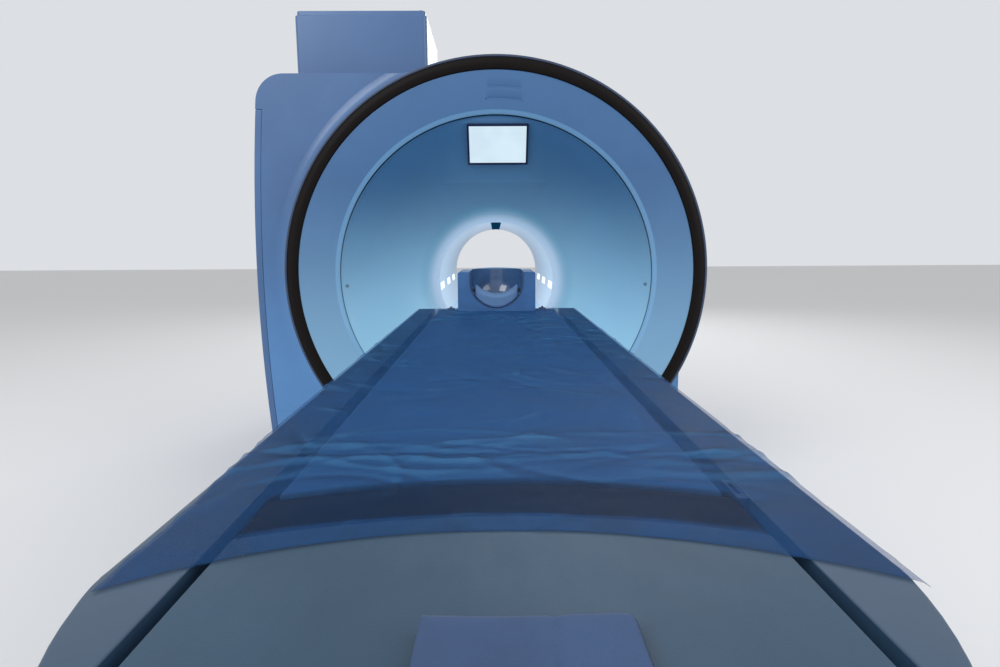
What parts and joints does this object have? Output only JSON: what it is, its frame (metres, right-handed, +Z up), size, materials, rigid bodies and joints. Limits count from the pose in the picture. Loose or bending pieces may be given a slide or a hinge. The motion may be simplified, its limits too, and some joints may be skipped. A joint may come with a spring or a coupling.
{
  "type": "closed-bore mri scanner",
  "caption": "Closed-bore MRI scanner with a lit round funnel, side cover body and a height-adjustable patient table that slides into the tunnel.",
  "frame": {"origin": "on the floor, straight below the magnet's isocentre, at the centre of the four floor anchors", "axes": "+X to the right seen from the table's foot, +Y along the tunnel from the table into the magnet, +Z up"},
  "size_m": [2.104, 4.704, 2.3603],
  "materials": {
    "cover_white": "satin moulded cover",
    "liner_white": "satin tunnel liner",
    "trim_dark": "dark satin trim",
    "drum_grey": "satin paint",
    "light_pane": "frosted lit pane",
    "strip_teal": "matt",
    "vent_black": "matt",
    "display_frame": "gloss",
    "display_glass": "lit screen",
    "fixing_blue": "matt",
    "vessel_steel": "brushed",
    "foot_iron": "satin paint",
    "coil_resin": "cast resin",
    "copper_sheet": "satin",
    "frame_alu": "mill finish",
    "base_grey": "textured paint",
    "shroud_grey": "satin paint",
    "rod_chrome": "polished",
    "cylinder_paint": "satin paint",
    "tub_white": "satin moulded cover",
    "rail_alu": "anodised",
    "grip_dark": "matt",
    "anchor_black": "matt",
    "board_white": "laminate",
    "mattress_vinyl": "coated fabric",
    "coil_blue": "satin moulding",
    "liner_blue": "gloss moulding",
    "pad_foam": "foam pad cover",
    "clip_black": "matt",
    "knob_dark": "satin",
    "sheet_blue": "thin nonwoven sheet",
    "cloth_blue": "folded cotton cloth",
    "motor_dark": "satin paint"
  },
  "bodies": {
    "gantry": {"magnet_vessel": "vessel_steel", "magnet_feet": "foot_iron", "service_turret": "vessel_steel", "gradient_coil": "coil_resin", "transmit_coil": "copper_sheet", "bore_liner": "liner_white", "bore_floor": "liner_white", "bridge": "liner_white", "side_lights": "light_pane", "crown_strip": "strip_teal", "mouth_light_ring": "light_pane", "funnel": "cover_white", "face_ring": "cover_white", "vent_backing": "vent_black", "dark_trim_ring": "trim_dark", "drum_shell": "drum_grey", "cover_frame": "frame_alu", "front_cover": "cover_white", "front_kick_panel": "cover_white", "left_side_cover": "cover_white", "right_side_cover": "cover_white", "top_cover": "cover_white", "rear_cover": "cover_white", "rear_flare": "liner_white", "duct_cover": "cover_white", "display_bezel": "display_frame", "display_screen": "display_glass", "cover_fixings": "fixing_blue", "table_base": "base_grey", "outer_shroud": "shroud_grey", "lift_cylinder": "cylinder_paint"},
    "lift_middle": {"middle_shroud": "shroud_grey", "lift_stage": "rod_chrome"},
    "table_frame": {"inner_shroud": "shroud_grey", "lift_rod": "rod_chrome", "table_tub": "tub_white", "side_strip_left": "cover_white", "side_strip_right": "cover_white", "guide_rails": "rail_alu", "foot_cap": "mattress_vinyl", "foot_grip": "grip_dark", "travel_drive": "motor_dark", "drape_sheet": "sheet_blue", "folded_cloth": "cloth_blue"},
    "anchor_slider": {"strap_anchor": "anchor_black"},
    "tabletop": {"sliding_board": "board_white", "mattress": "mattress_vinyl", "head_coil_shell": "coil_blue", "head_coil_liner": "liner_blue", "head_coil_pad": "pad_foam", "coil_pad_clips": "clip_black"},
    "knob_left": {"coil_knob_left": "knob_dark"},
    "knob_right": {"coil_knob_right": "knob_dark"}
  },
  "joints": [
    {"name": "table_lift", "type": "slide", "parent": "gantry", "child": "table_frame", "axis": [0, 0, 1], "range_m": [-0.4, 0]},
    {"name": "lift_middle_slide", "type": "slide", "parent": "gantry", "child": "lift_middle", "axis": [0, 0, 1], "range_m": [-0.2, 0]},
    {"name": "tabletop_travel", "type": "slide", "parent": "table_frame", "child": "tabletop", "axis": [0, 1, 0], "range_m": [0, 1.6]},
    {"name": "anchor_slide", "type": "slide", "parent": "table_frame", "child": "anchor_slider", "axis": [0, 1, 0], "range_m": [-0.1, 1.8]},
    {"name": "knob_left_turn", "type": "hinge", "parent": "tabletop", "child": "knob_left", "pos_m": [-0.203, -1.215, 0.93], "axis": [0, 0, 1], "range_deg": [0, 90]},
    {"name": "knob_right_turn", "type": "hinge", "parent": "tabletop", "child": "knob_right", "pos_m": [0.203, -1.215, 0.93], "axis": [0, 0, 1], "range_deg": [0, 90]}
  ],
  "couplings": [
    {"joint": "lift_middle_slide", "follows": "table_lift", "ratio": 0.5}
  ]
}
